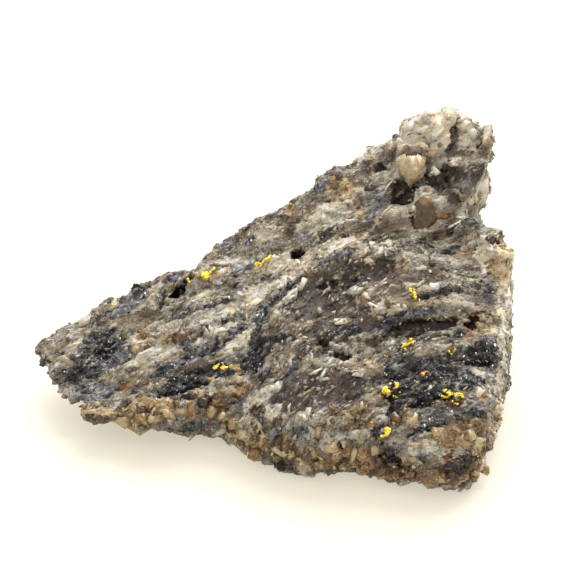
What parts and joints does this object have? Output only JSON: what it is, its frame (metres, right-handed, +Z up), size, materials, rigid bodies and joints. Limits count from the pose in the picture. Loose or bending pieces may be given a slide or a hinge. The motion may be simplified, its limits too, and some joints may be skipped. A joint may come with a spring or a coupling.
{
  "type": "native gold specimen",
  "caption": "Wedge-shaped hand specimen of banded grey quartz with small bright grains of native gold on its upper face.",
  "frame": {"origin": "under the middle of the rock's bounding box, on the face that it lies on", "axes": "+X along the wedge, from its thin tip to the block; +Y from the granular front edge to the back; +Z up, out of the face with the gold"},
  "size_m": [0.0422, 0.0342, 0.0177],
  "materials": {
    "quartz": "broken banded quartz, grey and beige with dark glittery bands, half see-through at the grains",
    "gold": "bright hackly native gold",
    "coppery_gold": "native gold with an orange tarnish"
  },
  "bodies": {
    "root": {"quartz_matrix": "quartz", "gold_grain_wing_bright": "gold", "gold_grain_wing_small": "gold", "gold_leaf_wing_long": "gold", "gold_cluster_wing_low": "gold", "gold_grain_block_top": "gold", "gold_grain_block_middle": "gold", "gold_nugget_block_bright": "gold", "gold_grain_block_beside": "gold", "gold_cluster_block_right": "gold", "gold_grain_block_copper": "coppery_gold", "gold_nugget_block_low": "gold", "gold_grain_block_faint": "gold"}
  },
  "joints": []
}
